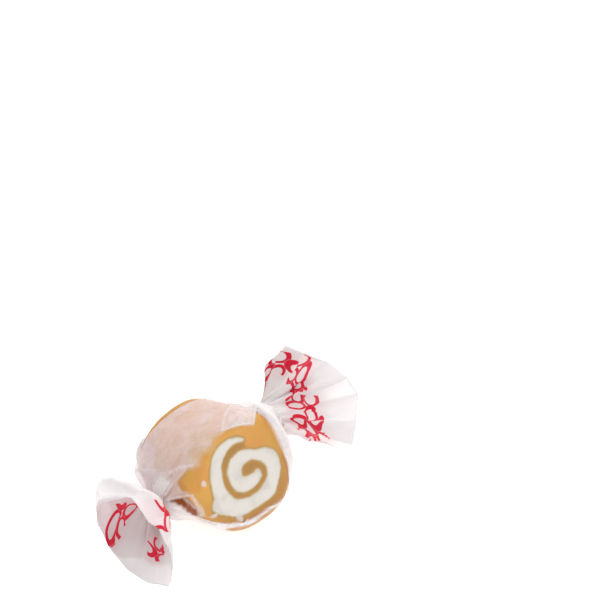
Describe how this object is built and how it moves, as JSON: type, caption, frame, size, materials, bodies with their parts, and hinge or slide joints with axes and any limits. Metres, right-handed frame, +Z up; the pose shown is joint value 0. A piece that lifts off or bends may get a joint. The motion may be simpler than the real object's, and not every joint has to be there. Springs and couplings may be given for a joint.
{
  "type": "salt water taffy",
  "caption": "Short log of soft caramel-coloured taffy with a white swirl running through it, wrapped in waxed paper that is twisted shut at both sides.",
  "frame": {"origin": "on the surface it lies on, straight below the middle of the log, on the flat patch of paper that it rests on", "axes": "+X towards the right twist as seen from the front face, -Y out of the front cut face, +Z up"},
  "size_m": [0.0608, 0.0266, 0.0293],
  "materials": {
    "caramel": "satin",
    "cream": "satin",
    "waxed_paper": "satin"
  },
  "bodies": {
    "root": {"caramel_taffy": "caramel", "white_swirl": "cream", "wax_wrapper": "waxed_paper"}
  },
  "joints": []
}
